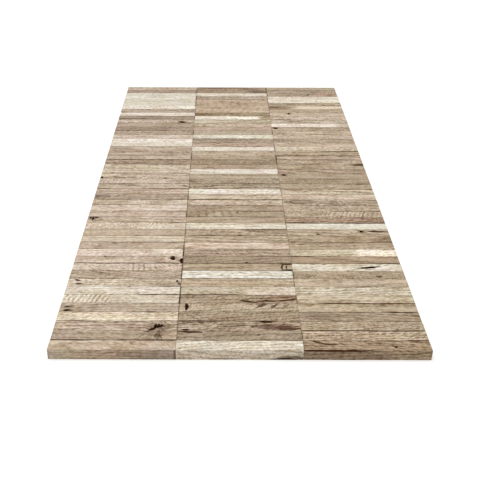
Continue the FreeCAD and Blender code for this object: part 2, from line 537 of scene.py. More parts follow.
# The oak's patterns, in waves a metre along the grain and across it
SLOW_WANDER = (11, 40, 40)  # 90 mm long and 25 mm wide
QUICK_WANDER = (40, 90, 90)  # 25 mm long and 11 mm wide
RAYS = (125, 60, 170)  # 8 mm tall, 17 mm along the radius, and 0.7 mm thick at 120 mm from the pith
FIBRES = (14, 300, 300)  # 70 mm long and 3 mm wide
BLOTCHES = (22, 70, 70)  # 45 mm long and 14 mm wide
FINE_PORES = (75, 560, 560)  # drawn 13 mm long and 1.8 mm wide, coarser than they are, so that they show
COARSE_PORES = (110, 340, 340)  # drawn 9 mm long and 3 mm wide
TORN_LENGTH = 110  # dashes 9 mm long
TORN_SHORTER = 330  # added to that for each unit that the grain slants out of the face
TORN_WIDTH = 380  # 2.6 mm wide
RAGGED_BARS = (70, 120, 120)  # 14 mm long and 8 mm wide
RAGGED_RIMS = (60, 250, 250)  # 17 mm long and 4 mm wide
SAW_MARKS = (720, 40, 40)  # 1.4 mm apart
RING_WIDTH = 0.0042
# Where in its noise a ray and a pore begin, and where they are whole
RAY_EDGES = (0.54, 0.66)
PORE_EDGES = (0.56, 0.68)

# How strongly each pattern shows in the wood's colour, and how deep and pale it may get
RING_STRENGTH = 0.7
RING_MEAN = 0.62
FIBRE_STRENGTH = 1.3
TORN_STRENGTH = 4.0
TORN_AMONG_BARS = 1.8
BLOTCH_STRENGTH = 1.6
RAY_STRENGTH = 0.30
BAR_STRENGTH = 0.75
ROSY_PATCHES = 4.5
SALLOW_PATCHES = 4.2
HALO_STRENGTH = 0.5
DEEPEST = -0.45
PALEST = 1.5
ROUNDED = 0.3  # how gently it comes to those two
ROUGHNESS = (0.62, 0.80)  # of the sawn face, and inside pores

# The studio, and the photograph's camera: metres, watts, degrees, and pixels of a frame 480 wide
FLOOR_SIZE = 12
FLOOR_GLOW = (0.5, 2.0, 0.35, 0.75)  # from and to so far from the middle, and the glow there
SKY_LEVEL = 0.46
LAMP_PLACE = (-0.3, -0.25, 2.6)
LAMP_SIZE = 2.4
LAMP_POWER = 50.5
CAMERA_PLACE = (-0.0244, -1.2318, 0.6162)
CAMERA_PITCH = 30.613
CAMERA_ROLL = 0.162
FOCAL_LENGTH = 763.7
FRAME_SHIFT = 19.42
FRAME_SIZE = 480
SENSOR_WIDTH = 36

SMOOTH = {"interpolation_type": "SMOOTHSTEP"}  # for ranges that begin and end gently


def linear(colour):
    """An sRGB hex colour as linear red, green, blue and alpha."""
    channels = [int(colour[start : start + 2], 16) / 255 for start in (1, 3, 5)]
    return [c / 12.92 if c <= 0.04045 else ((c + 0.055) / 1.055) ** 2.4 for c in channels] + [1.0]


def add_node(tree, kind, inputs=(), **settings):
    """Adds one node with its settings, sets its inputs, given in their order or by name, and links those that
    are sockets. Returns its only output, or all of them where it has more."""
    made = tree.nodes.new("ShaderNode" + kind)
    for name, value in settings.items():
        setattr(made, name, value)
    for socket, value in inputs.items() if isinstance(inputs, dict) else enumerate(inputs):
        if isinstance(value, bpy.types.NodeSocket):
            tree.links.new(value, made.inputs[socket])
        else:
            made.inputs[socket].default_value = value
    in_use = [socket for socket in made.outputs if socket.enabled]
    return in_use[0] if len(in_use) == 1 else made.outputs


def bare_tree(owner):
    """Clears the nodes of a material or of the world, and returns what adds nodes there."""
    owner.use_nodes = True
    owner.node_tree.nodes.clear()
    return functools.partial(add_node, owner.node_tree)


def knot_pull(add, spot, number):
    """How far a knot swells the growth rings round it, and where its dark halo lies."""
    knot = add("Attribute", attribute_name=f"knot_{number}")["Vector"]
    radius = add("SeparateXYZ", (knot,))["Z"]
    apart = add("VectorMath", (spot, knot), operation="SUBTRACT")
    # It reaches further along the grain than across it
    apart = add("VectorMath", (apart, (0.7, 1.2, 0.0)), operation="MULTIPLY")
    apart = add("VectorMath", (apart,), operation="LENGTH")
    reach = add("Math", (radius, 0.00001), operation="MAXIMUM")
    reach = add("Math", (apart, reach), operation="DIVIDE")
    fall = add("Math", (reach, reach), operation="MULTIPLY")
    fall = add("Math", (fall, -0.35), operation="MULTIPLY")
    fall = add("Math", (fall,), operation="EXPONENT")
    swell = add("Math", (fall, radius), operation="MULTIPLY")
    halo = add("MapRange", (reach, 1.8, 0.8), **SMOOTH)
    return swell, halo


def wandering_grain(add, log, swell):
    """Places in the log, moved as the grain wanders: 3 mm over 90 mm, 1 mm over 25 mm, and round knots."""
    grain = log
    for wander, detail, sway in ((SLOW_WANDER, 2.0, 0.007), (QUICK_WANDER, 1.0, 0.003)):
        waves = add("VectorMath", (log, wander), operation="MULTIPLY")
        drift = add("TexNoise", {"Vector": waves, "Scale": 1.0, "Detail": detail})[1]
        grain = add("VectorMath", (drift, (0, sway, sway), grain), operation="MULTIPLY_ADD")
    round_knots = add("CombineXYZ", {1: swell, 2: swell})
    return add("VectorMath", (grain, round_knots), operation="ADD")


def growth_rings(add, radius):
    """Growth rings: 0 in the porous wood of spring, 1 in the dense wood of summer."""
    rings = add("Math", (radius, 1 / RING_WIDTH), operation="MULTIPLY")
    rings = add("Math", (rings,), operation="FRACT")
    early = add("MapRange", (rings, 0.0, 0.25), **SMOOTH)
    late = add("MapRange", (rings, 0.6, 1.0, 1.0, 0.2), **SMOOTH)
    return add("Math", (early, late), operation="MULTIPLY")


def ray_flecks(add, grain, radius):
    """Rays are thin sheets along the radius, so a quarter sawn face shows broad flecks."""
    axial, cross_1, cross_2 = add("SeparateXYZ", (grain,))
    angle = add("Math", (cross_2, cross_1), operation="ARCTAN2")
    waves = add("CombineXYZ", (axial, radius, angle))
    waves = add("VectorMath", (waves, RAYS), operation="MULTIPLY")
    rays = add("TexNoise", {"Vector": waves, "Scale": 1.0, "Detail": 1.0})[0]
    return add("MapRange", (rays, *RAY_EDGES), **SMOOTH)


def fleck_bars(add, spot, log):
    """Pale bars with thin dark lines between them, where a strip was cut along its rays, and that zone."""
    along, across = add("SeparateXYZ", (spot,))[:2]
    start, end, lean = add("SeparateXYZ", (add("Attribute", attribute_name="fleck_zone")["Vector"],))
    spacing, strength = add("SeparateXYZ", (add("Attribute", attribute_name="fleck_look")["Vector"],))[:2]
    waves = add("VectorMath", (log, RAGGED_BARS), operation="MULTIPLY")
    ragged = add("TexNoise", {"Vector": waves, "Scale": 1.0, "Detail": 2.0})[0]
    # Each bar leans, strays by up to 12 mm, rises from a dark line to a pale crest and falls off again
    leaning = add("Math", (across, lean, along), operation="MULTIPLY_ADD")
    leaning = add("Math", (ragged, 0.012, leaning), operation="MULTIPLY_ADD")
    phase = add("Math", (leaning, spacing), operation="DIVIDE")
    phase = add("Math", (phase,), operation="FRACT")
    rise = add("MapRange", (phase, 0.08, 0.34, -1.8, 0.6), **SMOOTH)
    fall = add("MapRange", (phase, 0.7, 1.0, 0.0, 1.4), **SMOOTH)
    bars = add("Math", (rise, fall), operation="SUBTRACT")
    begun = add("Math", (along, start), operation="SUBTRACT")
    begun = add("MapRange", (begun, 0.0, 0.006))
    ended = add("Math", (end, along), operation="SUBTRACT")
    ended = add("MapRange", (ended, 0.0, 0.006))
    inside = add("Math", (begun, ended), operation="MULTIPLY")
    faint = add("MapRange", (ragged, 0.35, 0.6))
    faint = add("Math", (inside, faint), operation="MULTIPLY")
    faint = add("Math", (faint, strength), operation="MULTIPLY")
    return add("Math", (bars, faint), operation="MULTIPLY"), inside


def strip_tone(add, spot, ragged, hue):
    """What to multiply the wood's colour by: the strip's own tone, its change part of the way along, and
    patches that are rosier or yellower."""
    along, across = add("SeparateXYZ", (spot,))[:2]
    lighter, yellower, pinker = add("SeparateXYZ", (add("Attribute", attribute_name="strip_tint")["Vector"],))
    where, lean, amount = add("SeparateXYZ", (add("Attribute", attribute_name="tone_change")["Vector"],))
    # The change's boundary leans, is 12 mm soft and strays by up to 30 mm
    past = add("Math", (along, where), operation="SUBTRACT")
    leaned = add("Math", (across, lean), operation="MULTIPLY")
    past = add("Math", (past, leaned), operation="SUBTRACT")
    past = add("Math", (ragged, 0.03, past), operation="MULTIPLY_ADD")
    past = add("MapRange", (past, 0.009, 0.021), **SMOOTH)
    lighter = add("Math", (past, amount, lighter), operation="MULTIPLY_ADD")
    level = add("Math", (lighter, LIGHT_UNIT, 1.0), operation="MULTIPLY_ADD")
    # Darker wood is yellower
    redder = add("Math", (level, 0.92), operation="POWER")
    bluer = add("Math", (level, 1.25), operation="POWER")
    sallow, rosy = add("SeparateXYZ", (hue,))[1:]
    rosy = add("Math", (rosy, 0.5), operation="SUBTRACT")
    pinker = add("Math", (rosy, ROSY_PATCHES, pinker), operation="MULTIPLY_ADD")
    sallow = add("Math", (sallow, 0.5), operation="SUBTRACT")
    yellower = add("Math", (sallow, SALLOW_PATCHES, yellower), operation="MULTIPLY_ADD")
    red = add("Math", (pinker, PINK_UNIT, 1.0), operation="MULTIPLY_ADD")
    green = add("Math", (pinker, -PINK_UNIT, 1.0), operation="MULTIPLY_ADD")
    blue = add("Math", (yellower, -YELLOW_UNIT, 1.0), operation="MULTIPLY_ADD")
    cast = add("CombineXYZ", (red, green, blue))
    levels = add("CombineXYZ", (redder, level, bluer))
    return add("VectorMath", (cast, levels), operation="MULTIPLY")


def mark_depth(add, spot, mark):
    """How dark one mark is here: a line between two places that thins towards both of its ends."""
    start, end, look = [add("Attribute", attribute_name=f"{mark}_{part}")["Vector"] for part in MARK_PARTS]
    half_width, darkness, softness = add("SeparateXYZ", (look,))
    reach = add("VectorMath", (end, start), operation="SUBTRACT")
    apart = add("VectorMath", (spot, start), operation="SUBTRACT")
    share = add("VectorMath", (apart, reach), operation="DOT_PRODUCT")
    whole = add("VectorMath", (reach, reach), operation="DOT_PRODUCT")
    share = add("Math", (share, whole), operation="DIVIDE", use_clamp=True)
    nearest = add("VectorMath", {0: reach, "Scale": share}, operation="SCALE")
    off = add("VectorMath", (apart, nearest), operation="DISTANCE")
    to_end = add("Math", (share, 0.5), operation="SUBTRACT")
    to_end = add("Math", (to_end,), operation="ABSOLUTE")
    taper = add("MapRange", (to_end, 0.5, 0.15, 0.3, 1.0), **SMOOTH)
    rim = add("Math", (half_width, taper), operation="MULTIPLY")
    off = add("Math", (off, rim), operation="DIVIDE")
    outer = add("Math", (1.0, softness), operation="ADD")
    inner = add("Math", (1.0, softness), operation="SUBTRACT")
    mask = add("MapRange", (off, outer, inner), **SMOOTH)
    return add("Math", (mask, darkness), operation="MULTIPLY")


def joint_grime_and_shade(add, spot, ragged):
    """Grime and painted shade in the arrises of open joints, in the corners where joints meet, and in the end
    grain.
    """
    along, across = add("SeparateXYZ", (spot,))[:2]
    front, back, ends = add("SeparateXYZ", (add("Attribute", attribute_name="joint_open")["Vector"],))
    far_side = add("Math", (WIDTH, across), operation="SUBTRACT")
    to_side = add("Math", (across, far_side), operation="MINIMUM")
    far_end = add("Math", (LENGTH, along), operation="SUBTRACT")
    to_end = add("Math", (along, far_end), operation="MINIMUM")
    corner = add("Math", (to_side, to_end), operation="ADD")
    corner = add("MapRange", (corner, 0.0040, 0.0010), **SMOOTH)
    shade_and_grime = add("Math", (corner, ends), operation="MULTIPLY")
    # It reaches about 1 mm in from an arris, and 4 mm from a corner
    for apart, amount in ((across, front), (far_side, back), (to_end, ends)):
        apart = add("Math", (ragged, 0.0014, apart), operation="MULTIPLY_ADD")
        near = add("MapRange", (apart, 0.0023, 0.0012), **SMOOTH)
        near = add("Math", (near, amount), operation="MULTIPLY")
        shade_and_grime = add("Math", (shade_and_grime, near), operation="MAXIMUM")
    return shade_and_grime


def sawn_oak(name, pale, deep, figure, pore_depth, pore_waves):
    """Sawn, unfinished oak. Growth rings, fibres and open pores follow a grain that wanders, rays cross it,
    and the sawn face is matt, so the eye sees mottled streaks, short dark dashes and pale flecks, with little
    gloss."""
    material = bpy.data.materials.new(name)
    add = bare_tree(material)
    log = add("Attribute", attribute_name="log_place")["Vector"]
    spot = add("Attribute", attribute_name="strip_place")["Vector"]
    lively, ray_share, slant = add("SeparateXYZ", (add("Attribute", attribute_name="strip_cut")["Vector"],))

    # Figure: rings and rays round the pith, fibre streaks and patches
    (swell_1, halo_1), (swell_2, halo_2) = [knot_pull(add, spot, number) for number in KNOT_SLOTS]
    swell = add("Math", (swell_1, swell_2), operation="ADD")
    grain = wandering_grain(add, log, swell)
    section = add("VectorMath", (grain, (0, 1, 1)), operation="MULTIPLY")
    radius = add("VectorMath", (section,), operation="LENGTH")
    summer = growth_rings(add, radius)
    rays = add("Math", (ray_flecks(add, grain, radius), ray_share), operation="MULTIPLY")
    bars, zone = fleck_bars(add, spot, log)
    waves = add("VectorMath", (grain, FIBRES), operation="MULTIPLY")
    fibre = add("TexNoise", {"Vector": waves, "Scale": 1.0, "Detail": 3.0, "Roughness": 0.6})[0]
    waves = add("VectorMath", (log, BLOTCHES), operation="MULTIPLY")
    blotch, hue = add("TexNoise", {"Vector": waves, "Scale": 1.0, "Detail": 2.0})

    # Fibres torn by the saw, in dashes that are shorter where the grain runs out of the face, and open pores.
    # Both lean with that grain.
    axial, cross_1, cross_2 = add("SeparateXYZ", (grain,))
    leaned_1 = add("Math", (axial, slant, cross_1), operation="MULTIPLY_ADD")
    leaned_2 = add("Math", (axial, slant, cross_2), operation="MULTIPLY_ADD")
    torn_grain = add("CombineXYZ", (axial, leaned_1, leaned_2))
    shorter = add("Math", (slant,), operation="ABSOLUTE")
    shorter = add("Math", (shorter, TORN_SHORTER, TORN_LENGTH), operation="MULTIPLY_ADD")
    scales = add("CombineXYZ", (shorter, TORN_WIDTH, TORN_WIDTH))
    waves = add("VectorMath", (torn_grain, scales), operation="MULTIPLY")
    torn = add("TexNoise", {"Vector": waves, "Scale": 1.0, "Detail": 4.0, "Roughness": 0.65})[0]
    waves = add("VectorMath", (torn_grain, pore_waves), operation="MULTIPLY")
    pores = add("TexNoise", {"Vector": waves, "Scale": 1.0, "Detail": 1.0})[0]
    pores = add("MapRange", (pores, *PORE_EDGES), **SMOOTH)
    porous = add("MapRange", (summer, 0.0, 1.0, 1.0, 0.5))
    pores = add("Math", (pores, porous), operation="MULTIPLY")

    # Depth of colour, the strip's tone, and pores that show their dark inside
    plain = add("MapRange", (zone, 0.0, 1.0, TORN_STRENGTH, TORN_AMONG_BARS))
    shade = add("Math", (summer, RING_MEAN), operation="SUBTRACT")
    shade = add("Math", (shade, RING_STRENGTH), operation="MULTIPLY")
    for pattern, strength in ((fibre, FIBRE_STRENGTH), (torn, plain), (blotch, BLOTCH_STRENGTH)):
        uneven = add("Math", (pattern, 0.5), operation="SUBTRACT")
        shade = add("Math", (uneven, strength, shade), operation="MULTIPLY_ADD")
    shade = add("Math", (shade, lively), operation="MULTIPLY")
    shade = add("Math", (shade, figure, 0.5), operation="MULTIPLY_ADD")
    shade = add("Math", (rays, RAY_STRENGTH, shade), operation="MULTIPLY_ADD")
    shade = add("Math", (bars, BAR_STRENGTH, shade), operation="MULTIPLY_ADD")
    shade = add("Math", (shade, DEEPEST, ROUNDED), operation="SMOOTH_MAX")
    shade = add("Math", (shade, PALEST, ROUNDED), operation="SMOOTH_MIN")
    mix = {0: shade, 6: linear(deep), 7: linear(pale)}
    colour = add("Mix", mix, data_type="RGBA", clamp_factor=False)
    open_share = add("SeparateXYZ", (add("Attribute", attribute_name="pore_share")["Vector"],))["X"]
    hollow = add("Math", (pores, pore_depth), operation="MULTIPLY")
    hollow = add("Math", (hollow, open_share), operation="MULTIPLY")
    mix = {0: hollow, 6: colour, 7: linear("#60421E")}
    colour = add("Mix", mix, data_type="RGBA")
    waves = add("VectorMath", (spot, RAGGED_RIMS), operation="MULTIPLY")
    ragged, stray = add("TexNoise", {"Vector": waves, "Scale": 1.0, "Detail": 2.0})
    tone = strip_tone(add, spot, ragged, hue)
    colour = add("VectorMath", (colour, tone), operation="MULTIPLY")

    # Halos round knots, marks that stray by about 1 mm, and grime and painted shade in open joints
    layers = []
    for halo in (halo_1, halo_2):
        mask = add("Math", (halo, HALO_STRENGTH), operation="MULTIPLY")
        layers.append((mask, "#5A3A14", "MIX"))
    stray = add("VectorMath", (stray, (0.5, 0.5, 0.5)), operation="SUBTRACT")
    strayed = add("VectorMath", (stray, (0.006, 0.006, 0), spot), operation="MULTIPLY_ADD")
    for kind, looks in MARK_KINDS.items():
        slots, _, tint, blend = looks[2:]
        layers += [(mark_depth(add, strayed, f"{kind}_{number}"), tint, blend) for number in range(slots)]
    # Grime and painted shade in the joints, laid on in dark brown
    layers.append((joint_grime_and_shade(add, spot, ragged), "#472A06", "MIX"))
    for mask, tint, blend in layers:
        mix = {0: mask, 6: colour, 7: linear(tint)}
        colour = add("Mix", mix, data_type="RGBA", blend_type=blend)

    # The saw leaves fine marks across the grain, and the pores stay open
    waves = add("VectorMath", (spot, SAW_MARKS), operation="MULTIPLY")
    saw_marks = add("TexNoise", {"Vector": waves, "Scale": 1.0, "Detail": 1.0})[0]
    relief = add("Math", (pores, -0.8, fibre), operation="MULTIPLY_ADD")
    relief = add("Math", (saw_marks, 0.35, relief), operation="MULTIPLY_ADD")
    bump = add("Bump", {"Height": relief, "Strength": 0.35, "Distance": 0.0003})
    dull = add("MapRange", (pores, 0.0, 1.0, *ROUGHNESS))
    gloss = {"Roughness": dull, "IOR": 1.5, "Specular IOR Level": 0.06}
    surface = {"Base Color": colour, "Normal": bump, **gloss}
    add("OutputMaterial", {"Surface": add("BsdfPrincipled", surface)})
    return material


def knot_wood():
    """Inside of an open knot: loose dead wood and bark, rough and nearly black, in 1.2 mm crumbs."""
    material = bpy.data.materials.new("dead knot wood and bark")
    add = bare_tree(material)
    place = add("TexCoord")["Object"]
    crumbs = add("TexNoise", {"Vector": place, "Scale": 850.0, "Detail": 3.0})[0]
    mix = {0: crumbs, 6: linear("#120800"), 7: linear("#4A2D14")}
    colour = add("Mix", mix, data_type="RGBA")
    bump = add("Bump", {"Height": crumbs, "Strength": 0.6, "Distance": 0.0006})
    surface = {"Base Color": colour, "Roughness": 0.9, "Normal": bump, "Specular IOR Level": 0.1}
    add("OutputMaterial", {"Surface": add("BsdfPrincipled", surface)})
    return material


def select_edges(test):
    """In edit mode, selects the edges whose two ends pass the test."""
    bpy.ops.mesh.select_mode(type="EDGE")
    bpy.ops.mesh.select_all(action="DESELECT")
    mesh = bpy.context.edit_object.data
    shape = bmesh.from_edit_mesh(mesh)
    for edge in shape.edges:
        first, second = edge.verts
        if test(first.co, second.co):
            edge.select_set(True)
    bmesh.update_edit_mesh(mesh)


def sawn_blank():
    """The strip that all are copied from, its front left bottom corner at the origin: a sawn bar with enough
    cuts to carry waves and chips, and the edges of its walking face eased."""
    bpy.ops.object.select_all(action="DESELECT")
    middle = Vector((LENGTH, WIDTH, THICKNESS)) / 2
    bpy.ops.mesh.primitive_cube_add(size=1, location=middle, scale=(LENGTH, WIDTH, THICKNESS))
    blank = bpy.context.object
    blank.name = "sawn_blank"
    bpy.ops.object.transform_apply(location=True, rotation=True, scale=True)
    bpy.ops.object.mode_set(mode="EDIT")
    for axis, cuts in enumerate(BLANK_CUTS):
        select_edges(lambda a, b: abs(a[axis] - b[axis]) > (a - b).length * 0.99)
        bpy.ops.mesh.subdivide(number_cuts=cuts)
    close = 0.01 * MM
    rims = ((0, 0), (0, LENGTH), (1, 0), (1, WIDTH))
    select_edges(
        lambda a, b: min(a.z, b.z) > THICKNESS - close
        and any(abs(a[axis] - rim) + abs(b[axis] - rim) < close for axis, rim in rims)
    )
    bpy.ops.mesh.bevel(offset=ARRIS, segments=1, affect="EDGES")
    bpy.ops.object.mode_set(mode="OBJECT")
    return blank


def bark_cutter():
    """Lumpy pebble of unit size, from which each open knot is cut."""
    bpy.ops.object.select_all(action="DESELECT")
    bpy.ops.mesh.primitive_ico_sphere_add(subdivisions=LUMPS, radius=1)
    pebble = bpy.context.object
    pebble.name = "knot_cutter"
    for vertex in pebble.data.vertices:
        lump = noise.noise(vertex.co * 1.7) * 0.35 + noise.noise(vertex.co * 4.0) * 0.18
        vertex.co *= 1 + lump
    return pebble


def wavy(rng, along):
    """How far a sawn side lies back from its true plane: a slight bow and the saw's wander."""
    back = rng.uniform(0.0, 0.02) + rng.uniform(0.0, 0.05) * (2 * along - rng.uniform(0.7, 1.3)) ** 2
    for waves, height in SAW_WAVES:
        back = back + height * (1 + np.sin(waves * math.tau * along + rng.uniform(0, math.tau))) / 2
    return back * MM


def cut_short(rng, lean):
    """How far an end lies back from its true plane. One in four is short by 0.2 mm, and all lean a little."""
    return (rng.choice((0.0, 0.0, 0.0, 0.2)) + rng.uniform(0.0, 0.05) + rng.uniform(0.0, 0.1) * lean) * MM


def chips(rng, along):
    """How far an arris has splintered away along the strip."""
    away = np.zeros(len(along))
    for _ in range(rng.randint(*CHIP_COUNTS)):
        centre = rng.random()
        reach = rng.uniform(*CHIP_LENGTHS)
        away += rng.uniform(*CHIP_DEPTHS) * np.exp(-(((along - centre) / reach) ** 2))
    return away * MM


def joint_behind(column, row, along):
    """How far the joint behind that row stands open along the strip. Each opening tapers at its ends."""
    width = np.zeros(len(along))
    for start, end, opening in OPEN_JOINTS.get(f"{column} {row}", ()):
        rise = np.clip((along - start + OPENING_RUN_ON) / OPENING_TAPER, 0, 1)
        fall = np.clip((end + OPENING_RUN_ON - along) / OPENING_TAPER, 0, 1)
        width = np.maximum(width, opening * np.minimum(rise, fall))
    uneven = 0.7 + 0.3 * np.sin(31 * along + 2.1 * row) * np.sin(13 * along + row)
    return width * uneven * MM


def points_of(mesh):
    """The mesh's vertices as rows of x, y, z."""
    places = np.empty(len(mesh.vertices) * 3, dtype=np.float32)
    mesh.vertices.foreach_get("co", places)
    return places.reshape(-1, 3).astype(float)


def saw(strip, column, row, rng):
    """Gives a copy of the blank its own waves, chips, lean and open joints. Nothing leaves the true bar,
    except where a tight joint closes."""
    places = points_of(strip.data)
    along, across, high = (places / (LENGTH, WIDTH, THICKNESS)).T
    front = wavy(rng, along) + joint_behind(column, row - 1, along) / 2
    back = wavy(rng, along) + joint_behind(column, row, along) / 2
    arris = high > ARRIS_BAND
    front += chips(rng, along) * arris
    back += chips(rng, along) * arris
    closed = (TIGHT_GAP - JOINT) / 2
    front = closed if row - 1 in TIGHT_JOINTS[column] else front
    back = closed if row in TIGHT_JOINTS[column] else back
    left = cut_short(rng, across)
    right = cut_short(rng, 1 - across)
    sunk = (rng.uniform(0.0, 0.22) + rng.uniform(0.0, 0.12) * along + rng.uniform(0.0, 0.08) * across) * MM
    rim = np.minimum(across, 1 - across) < RIM_BAND
    sunk += arris * rim * chips(rng, along) * CHIP_DOWN
    before = COLUMNS.index(column) - 1
    left = 0.0 if before >= 0 and row in CLEAN_ENDS[COLUMNS[before]] else left
    right = 0.0 if row in CLEAN_ENDS[column] else right
    moved = np.empty_like(places)
    moved[:, 0] = left + (LENGTH - left - right) * along
    moved[:, 1] = front + (WIDTH - front - back) * across
    moved[:, 2] = high * (THICKNESS - sunk)
    strip.data.vertices.foreach_set("co", moved.astype(np.float32).ravel())
    strip.data.update()


def clear_crumbs():
    """Closes up the slivers that a cut left in the active strip, and takes away what no longer holds to its
    underside."""
    bpy.ops.object.mode_set(mode="EDIT")
    bpy.ops.mesh.select_all(action="SELECT")
    bpy.ops.mesh.remove_doubles(threshold=SLIVER)
    bpy.ops.mesh.dissolve_degenerate(threshold=SLIVER)
    select_edges(lambda a, b: max(a.z, b.z) < ARRIS)
    bpy.ops.mesh.select_linked()
    bpy.ops.mesh.select_all(action="INVERT")
    bpy.ops.mesh.delete(type="VERT")
    bpy.ops.object.mode_set(mode="OBJECT")


def cut_knots(strip, pebble, column, row, rng):
    """Cuts the strip's open knots and splits with rolled, scaled and turned copies of the pebble."""
    name = f"{column} {row}"
    for along, across, length, width, turn in KNOTS.get(name, ()) + SPLITS.get(name, ()):
        cutter = pebble.copy()
        cutter.data = pebble.data.copy()
        bpy.context.collection.objects.link(cutter)
        roll = rng.uniform(0, math.tau)
        axis = Vector((rng.random(), rng.random(), 1)).normalized()
        rolled = Matrix.Rotation(roll, 4, axis)
        sized = Matrix.Diagonal((length * MM / 2, width * MM / 2, KNOT_DEPTH, 1))
        turned = Matrix.Rotation(math.radians(turn), 4, "Z")
        placed = Matrix.Translation((along * LENGTH, across * WIDTH, THICKNESS))
        cutter.data.transform(placed @ turned @ sized @ rolled)
        bpy.ops.object.select_all(action="DESELECT")
        bpy.context.view_layer.objects.active = strip
        strip.select_set(True)
        hole = strip.modifiers.new("knot", "BOOLEAN")
        hole.object = cutter
        hole.operation = "DIFFERENCE"
        hole.solver = "EXACT"
        hole.material_mode = "TRANSFER"
        bpy.ops.object.modifier_apply(modifier=hole.name)
        bpy.data.objects.remove(cutter)
        clear_crumbs()


def write_attribute(mesh, name, values):
    """Stores a vector at each vertex: one row a vertex, or one row for all."""
    made = mesh.attributes.new(name, "FLOAT_VECTOR", "POINT")
    rows = np.broadcast_to(np.asarray(values, dtype=np.float32), (len(mesh.vertices), 3))
    made.data.foreach_set("vector", np.ascontiguousarray(rows).ravel())


def log_places(places, column, row, rng):
    """Where each point of the strip lay in the tree: along the trunk, and across it from the pith. Turn,
    slope and rise are in degrees."""
    turns = (20, 80)
    if row in QUARTER_SAWN[column]:
        turns = (-8, 8)
    elif row in FLAT_SAWN[column]:
        turns = (75, 90)
    turn = rng.uniform(*turns)
    slopes = (5, 9) if row in CROSS_GRAINED[column] else (0.3, 3.5)
    slope = rng.choice((-1, 1)) * rng.uniform(*slopes)
    rise = rng.uniform(-1.6, 1.6)
    from_middle = places - np.array((LENGTH, WIDTH, THICKNESS)) / 2
    if row in TURNED_OVER[column]:
        from_middle = from_middle * (1, -1, -1)
    turned = (
        Matrix.Rotation(math.radians(turn), 3, "X")
        @ Matrix.Rotation(math.radians(rise), 3, "Y")
        @ Matrix.Rotation(math.radians(slope), 3, "Z")
    )
    in_log = from_middle @ np.array(turned).T
    return in_log + (rng.uniform(0, 4), rng.uniform(70, 180) * MM, 0)


def tint_of(column, row, rng):
    """The strip's own lightness, yellowness and pinkness against its sort."""
    lighter = rng.uniform(-0.15, 0.15) + LIGHT_STEP * (LIGHTER[column].count(row) - DARKER[column].count(row))
    lighter += MUCH_LIGHTER_STEP * (row in MUCH_LIGHTER[column])
    lighter -= MUCH_DARKER_STEP * (row in MUCH_DARKER[column])
    less_yellow, less_pink = GREY_STEPS
    grey = row in GREYER[column]
    yellower = rng.uniform(-0.2, 0.2) + YELLOW_STEP * (row in YELLOWER[column]) - less_yellow * grey
    yellower += COLUMN_YELLOW[column] - LESS_YELLOW_STEP * (row in LESS_YELLOW[column])
    pinker = rng.uniform(-0.2, 0.2) + PINK_STEP * (row in PINKER[column]) - less_pink * grey
    return lighter, yellower, pinker


def write_marks(mesh, name):
    """Stores the strip's marks, and fills the slots that are left with one that lies nowhere near."""
    nowhere = ((0, 0, -1), (1, 0, -1), (MM, 0, 0.5))
    for kind, (on_face, on_front, slots, softness, *_) in MARK_KINDS.items():
        marks = []
        for a, b, c, d, half_width, darkness in on_face.get(name, ()):
            ends = (a * LENGTH, b * WIDTH, THICKNESS), (c * LENGTH, d * WIDTH, THICKNESS)
            marks.append((*ends, (half_width * MM, darkness, softness)))
        for a, b, c, d, half_width, darkness in on_front.get(name, ()):
            ends = (a * LENGTH, 0, b * THICKNESS), (c * LENGTH, 0, d * THICKNESS)
            marks.append((*ends, (half_width * MM, darkness, softness)))
        marks += [nowhere] * (slots - len(marks))
        for number, mark in enumerate(marks):
            for part, values in zip(MARK_PARTS, mark):
                write_attribute(mesh, f"{kind}_{number}_{part}", values)


def end_joint_darkness(column, row, rng):
    """How dark the joint at the right end of that row is."""
    drawn = rng.choice(OTHER_ENDS)
    if row in DARK_ENDS[column]:
        return DARK_END_STEP * DARK_ENDS[column].count(row)
    return CLEAN_END if row in CLEAN_ENDS[column] else drawn


def closed_grime_and_shade(column, row, along):
    """How dark the closed joint behind that row is: grime, and painted shade that grows towards the back
    rows. There is none before the first row or behind the last, and a tight one shows only in the end grain."""
    if row in (0, ROWS):
        return 0.0
    if row in TIGHT_JOINTS[column]:
        return TIGHT_END_GRAIN * (np.minimum(along, 1 - along) < 0.01)
    # Painted shade: closed joints darken towards the back rows
    return random.Random(f"joint behind {column} {row}").uniform(0.05, 0.3) * (1 + row / ROWS)


def openings(places, column, row):
    """How dark the joints round a strip are at each vertex, in front, behind and at the ends, up to 1. An
    open joint's darkness is painted shade that deepens with its width.
    """
    along = places[:, 0] / LENGTH
    sides = []
    for joint in (row - 1, row):
        dark = joint_behind(column, joint, along) / DARKEST_GAP
        sides.append(np.clip(dark, closed_grime_and_shade(column, joint, along), 1))
    rng = random.Random(f"ends of {column} {row}")
    place = COLUMNS.index(column)
    left_end = end_joint_darkness(COLUMNS[place - 1], row, rng) if place > 0 else OUTER_END
    right_end = end_joint_darkness(column, row, rng) if place < len(COLUMNS) - 1 else OUTER_END
    ends = np.where(along < 0.5, left_end, right_end)
    # On the sawn front, a listed right end joint takes its own darkness, painted shadow of a gap
    on_front = (places[:, 1] < ARRIS / 2) & (along > 0.5)
    ends = np.where(on_front, FRONT_ENDS.get(f"{column} {row}", ends), ends)
    return np.stack((*sides, ends), axis=1)


